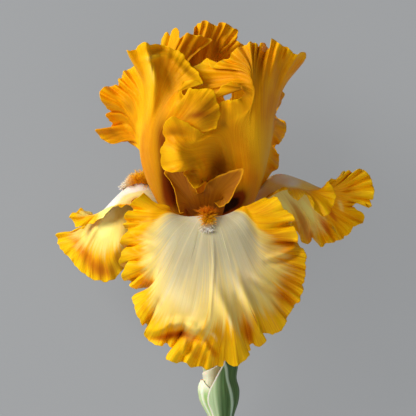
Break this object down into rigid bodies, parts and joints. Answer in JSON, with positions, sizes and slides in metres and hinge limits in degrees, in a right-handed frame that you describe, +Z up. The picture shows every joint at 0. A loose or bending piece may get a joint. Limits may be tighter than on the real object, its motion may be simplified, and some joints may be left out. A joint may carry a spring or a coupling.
{
  "type": "iris flower",
  "caption": "Cut bearded iris flower with ruffled gold standards, cream falls edged with gold, orange beards, green spathe and a short stem, lying on its back.",
  "frame": {"origin": "on the surface under the middle of the object's box", "axes": "+Y towards the flower's head along the surface, +X to the right of the bloom, +Z up, out of the flower's face"},
  "size_m": [0.1594, 0.2654, 0.1087],
  "materials": {
    "fall_petal": "velvety petal, cream middle and gold margin",
    "standard_petal": "satin gold petal",
    "style_arm": "satin petal",
    "beard": "soft hairs",
    "stamen": "matte pollen",
    "tube": "smooth waxy",
    "green_bract": "waxy leaf with a bloom",
    "pale_bract": "waxy, pale green",
    "papery_bract": "dry and papery",
    "stem": "waxy leaf with a bloom"
  },
  "bodies": {
    "root": {"front_fall": "fall_petal", "left_fall": "fall_petal", "right_fall": "fall_petal", "left_standard": "standard_petal", "right_standard": "standard_petal", "back_standard": "standard_petal", "front_style": "style_arm", "left_style": "style_arm", "right_style": "style_arm", "front_beard": "beard", "left_beard": "beard", "right_beard": "beard", "front_stamen": "stamen", "left_stamen": "stamen", "right_stamen": "stamen", "tube_and_ovary": "tube", "outer_bract": "green_bract", "left_bract": "pale_bract", "papery_bract": "papery_bract", "stem": "stem"}
  },
  "joints": []
}
